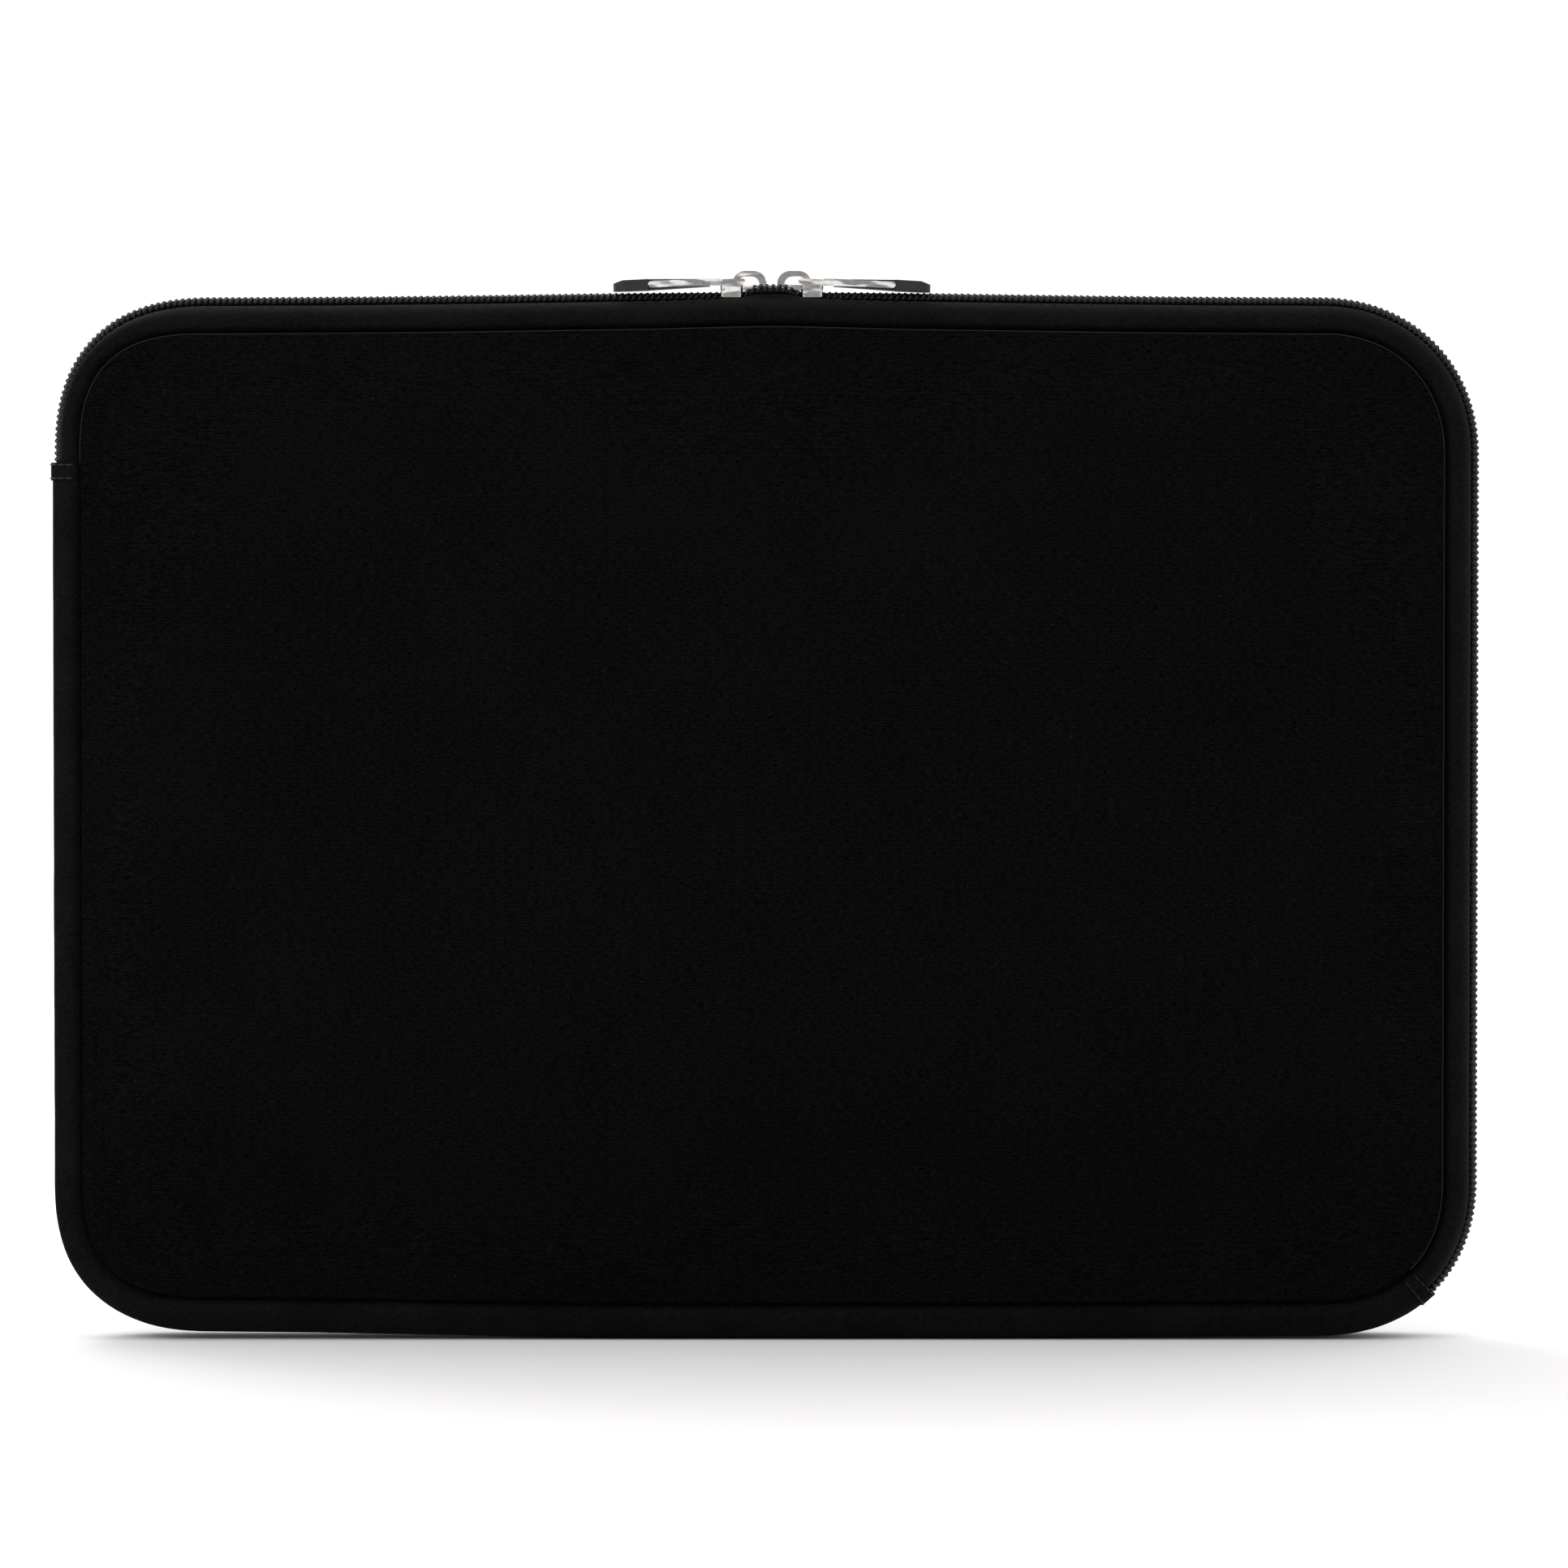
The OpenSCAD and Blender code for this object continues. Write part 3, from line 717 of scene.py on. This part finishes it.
def make_edges():
    """Bands, tapes, bindings and piping of both sides, then the gusset and the two end tabs."""
    zip_run = (ZIP_A - TUCK + 0.1, ZIP_B + TUCK - 0.1)
    for side, word in ((FRONT, "front"), (REAR, "rear")):
        front = side == FRONT
        v, f = sweep(curve_through(BAND, 2), *zip_run, 1.6, side, seed=2.0 + side, uneven=0.14,
                     lift=lambda s, w: 0.9 * RISE * (1 - smooth(w, 5.5, 8)))
        soft(mesh("zip_band_" + word + "_strip", v, f, EDGE), ["zip_band_" + word], front)
        v, f = sweep(curve_through(TAPE_LINE, 2), *zip_run, 1.5, side,
                     lift=lambda s, w: RISE * (1 - smooth(w, 4.6, 6.5)))
        soft(mesh("zip_tape_" + word + "_strip", v, f, TAPE), ["zip_tape_" + word], front)
        v, f = sweep(curve_through(BIND, 2), ZIP_A, ZIP_A + OUT.total - 0.01, 2.0, side, seed=5.0,
                     uneven=0.05)
        nodes = ["seam_binding_front_fixed", "seam_binding_front_flap"] if front else ["seam_binding_rear"]
        soft(mesh("seam_binding_" + word + "_tape", v, f, BINDING), nodes, front)
        ls = np.linspace(ZIP_A, ZIP_B, 700)
        inset = SEAM - 0.08 + 0.05 * ripple(ls, 0 * ls, 9, 4.0)
        points, _ = on_outline(ls, inset, side * np.full(len(ls), HALF_T - 0.62))
        v, f = tube(points, np.stack([0 * ls, 1 + 0 * ls, 0 * ls], -1), 0.17, sides=8)
        soft(mesh("seam_piping_" + word, v, f, PIPING), (), front)
    v, f = sweep(gusset_section(), ZIP_B + TUCK, ZIP_A + OUT.total - TUCK, 2.0, FRONT, seed=7.0,
                 uneven=0.12)
    soft(mesh("spine_gusset_strip", v, f, EDGE), ["spine_gusset"])
    for word, a, b in TABS:
        v, f = sweep(tab_section(), a, b, 0.6, FRONT)
        soft(mesh("zip_end_tab_" + word + "_fold", v, f, EDGE), ["zip_end_tab_" + word])


# ---------------------------------------------------------------- zip chain

COIL_START = ZIP_A - TUCK + 0.5
STITCH_STEPS = np.linspace(0, 1, 7)
COIL_TURNS = int((ZIP_B + TUCK - 0.5 - COIL_START) / COIL_PITCH)


def make_coil(side, word):
    """Half of the coil: a flattened spiral whose heads stop just short of the middle, between those of the
    other half."""
    t = np.arange(COIL_TURNS * 14 + 1) / 14
    swing = 2 * math.pi * (t + (0.0 if side == FRONT else 0.5))
    apart = parting(COIL_START + COIL_PITCH * t)
    across = 1.72 - 1.42 * np.cos(swing) + 0.1 * np.cos(3 * swing) + APART * apart
    height = np.sin(swing)
    inset = COIL_MID + 0.86 * np.sign(height) * np.abs(height) ** 0.6 - RISE * apart
    l = COIL_START + COIL_PITCH * t + 0.12 * np.sin(2 * swing)
    points, along = on_outline(l, inset, side * across)
    head = 0.5 + 0.5 * np.cos(swing)
    v, f = tube(points, along, COIL_WIRE - 0.05 * head, sides=8)
    soft(mesh("zip_coil_" + word, v, f, COIL, sharp=80), ["zip_teeth_" + word], side == FRONT)


def make_coil_thread(side, word):
    """The cord inside a half coil, and the two rows of thread over it that hold it on its tape."""
    t = np.arange(COIL_TURNS * 6 + 1) / 6
    l = COIL_START + COIL_PITCH * t
    apart = parting(l)
    sideways = np.stack([0 * l, np.ones(len(l)), 0 * l], -1)
    points, _ = on_outline(l, COIL_MID + 0.1 - RISE * apart, side * (1.95 + APART * apart))
    rows = [tube(points, sideways, 0.5, sides=7)]
    over = np.cos(2 * math.pi * (t + (0.25 if side == FRONT else 0.75)))
    for across in (1.5, 2.5):
        inset = 0.24 - 0.26 * over - RISE * apart
        points, _ = on_outline(l, inset, side * (across + APART * apart))
        rows.append(tube(points, sideways, 0.12, sides=5))
    v, f = gather(rows)
    soft(mesh("zip_coil_thread_" + word, v, f, THREAD, sharp=80), (), side == FRONT)


def stitch(l0, length, inset, depth, side, radius):
    """One stitch along the outline: a short thread that rises out of the cloth and dips back into it."""
    hump = np.sin(math.pi * STITCH_STEPS)
    l = l0 + length * STITCH_STEPS
    up = 0.22 * (hump - 0.55)
    points, _ = on_outline(l, inset - up, side * (depth + 0.35 * up))
    sideways = np.stack([0 * l, np.ones(len(l)), 0 * l], -1)
    return tube(points, sideways, radius * (0.75 + 0.25 * hump))


def make_stitching():
    """The row that sews each tape to its band, and two rows that wrap round each end tab."""
    spacing, length = 3.0, 2.35
    for side, word in ((FRONT, "front"), (REAR, "rear")):
        count = int((ZIP_B - ZIP_A - 4) / spacing)
        rows = [stitch(ZIP_A + 2 + spacing * k, length, 2.5, 7.05, side, 0.14) for k in range(count)]
        v, f = gather(rows)
        soft(mesh("zip_stitching_" + word + "_row", v, f, THREAD), ["zip_stitching_" + word],
             side == FRONT)
    rows = []
    wrap = tab_section()[:len(tab_section()) // 2]
    run = np.concatenate([[0], np.cumsum(np.linalg.norm(np.diff(wrap, axis=0), axis=1))])
    tangent = np.gradient(wrap, run, axis=0)
    out = np.stack([-tangent[:, 1], tangent[:, 0]], 1)
    out *= np.sign(out[0, 1])
    hump = np.sin(math.pi * STITCH_STEPS)
    up = 0.16 * (hump - 0.45)
    for _, a, b in TABS:
        for share in (0.12, 0.88):
            for at in np.arange(1.2, run[-1] - 2.4, 2.1):
                where = at + 1.7 * STITCH_STEPS
                s, w = (np.interp(where, run, wrap[:, i]) + up * np.interp(where, run, out[:, i])
                        for i in (0, 1))
                points, along = on_outline(np.full(len(where), a + share * (b - a)), s, FRONT * w)
                rows.append(tube(points, along, 0.15 * (0.75 + 0.25 * hump)))
    v, f = gather(rows)
    # Painted light and shade between the two tabs: the left tab's stitches take the lighter thread and the
    # right tab's half the darker sewing thread
    threads = soft(mesh("tab_stitching_rows", v, f, LIT_TAB_THREAD), ["tab_stitching"])
    threads.data.materials.append(THREAD)
    for polygon in threads.data.polygons[len(f) // 2:]:
        polygon.material_index = 1


# ---------------------------------------------------------------- metal and rubber

def finish_node(name, material, bevel):
    """Gives a CAD node its material and small rounded edges."""
    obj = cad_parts[name]
    obj.data.materials.clear()
    obj.data.materials.append(material)
    round_off = obj.modifiers.new("rounded_edges", "BEVEL")
    round_off.width = bevel * MM
    round_off.segments = 3
    round_off.limit_method = "ANGLE"
    round_off.angle_limit = math.radians(40)
    round_off.harden_normals = True
    for polygon in obj.data.polygons:
        polygon.use_smooth = True


def make_hardware():
    for word in ("left", "right"):
        finish_node("slider_body_" + word, NICKEL, 0.4)
        finish_node("pull_frame_" + word, NICKEL, 0.55)
        finish_node("pull_grip_" + word, RUBBER, 0.35)


# ---------------------------------------------------------------- floor, light and camera

def make_room():
    """A plain white floor, wide enough to run out of sight."""
    sides, reach = 96, 60.0
    verts = [(0.0, 0.0, 0.0)] + [(reach * math.cos(a), reach * math.sin(a), 0.0)
                                 for a in np.linspace(0, 2 * math.pi, sides, endpoint=False)]
    faces = [(0, 1 + k, 1 + (k + 1) % sides) for k in range(sides)]
    data = bpy.data.meshes.new("studio_floor")
    data.from_pydata(verts, [], faces)
    data.materials.append(shader("studio_white", (0.9, 0.88, 0.884), 0.9)[0])
    floor = bpy.data.objects.new("studio_floor", data)
    bpy.context.scene.collection.objects.link(floor)


def lamp(name, place, target, size, power):
    data = bpy.data.lights.new(name, "AREA")
    data.shape = "RECTANGLE"
    data.size, data.size_y = size
    data.energy = power
    obj = bpy.data.objects.new(name, data)
    bpy.context.scene.collection.objects.link(obj)
    obj.location = place
    obj.rotation_euler = (Vector(target) - Vector(place)).to_track_quat("-Z", "Y").to_euler()


def make_light():
    """A white room: bright behind and above the sleeve, dim in front of it, and seen as plain white."""
    world = bpy.data.worlds.new("studio_world")
    bpy.context.scene.world = world
    world.use_nodes = True
    tree = world.node_tree
    backdrop = tree.nodes["Background"]
    coords = node(tree, "ShaderNodeTexCoord")
    parts = node(tree, "ShaderNodeSeparateXYZ")
    tree.links.new(coords.outputs["Generated"], parts.inputs[0])
    facing = mixture(tree, (parts.outputs["Y"], 0.7), (parts.outputs["Z"], 0.7))
    spread = node(tree, "ShaderNodeMapRange", interpolation_type="SMOOTHSTEP")
    for socket, value in (("From Min", -0.8), ("From Max", 0.7), ("To Min", 0.25), ("To Max", 1.35)):
        spread.inputs[socket].default_value = value
    tree.links.new(facing, spread.inputs["Value"])
    seen = node(tree, "ShaderNodeLightPath").outputs["Is Camera Ray"]
    choice = node(tree, "ShaderNodeMix")
    choice.inputs["B"].default_value = 1.02
    tree.links.new(seen, choice.inputs["Factor"])
    tree.links.new(spread.outputs["Result"], choice.inputs["A"])
    backdrop.inputs["Color"].default_value = (1, 1, 1, 1)
    tree.links.new(choice.outputs["Result"], backdrop.inputs["Strength"])
    lamp("overhead", (-0.6, 0.95, 1.35), (0.05, 0, 0.05), (1.0, 0.6), 9)
    lamp("front_left", (-1.0, -1.1, 1.1), (-0.05, 0, 0.17), (0.7, 0.7), 7)
    bpy.context.scene.view_settings.view_transform = "Standard"


def make_camera():
    """Square on to the front, with the sleeve a little left of the middle and low in the frame."""
    data = bpy.data.cameras.new("camera")
    data.lens = LENS
    data.sensor_width = SENSOR
    distance = LENS / SENSOR * (RIGHT - LEFT) * MM / FRAME_SHARE
    rise = math.radians(CAMERA_RISE)
    target = Vector(CAMERA_TARGET)
    obj = bpy.data.objects.new("camera", data)
    bpy.context.scene.collection.objects.link(obj)
    obj.location = target + distance * Vector((0, -math.cos(rise), math.sin(rise)))
    obj.rotation_euler = (target - obj.location).to_track_quat("-Z", "Y").to_euler()
    bpy.context.scene.camera = obj


make_camera()
make_room()
make_light()
make_panels()
make_edges()
for half, half_name in ((FRONT, "front"), (REAR, "rear")):
    make_coil(half, half_name)
    make_coil_thread(half, half_name)
make_stitching()
make_hardware()
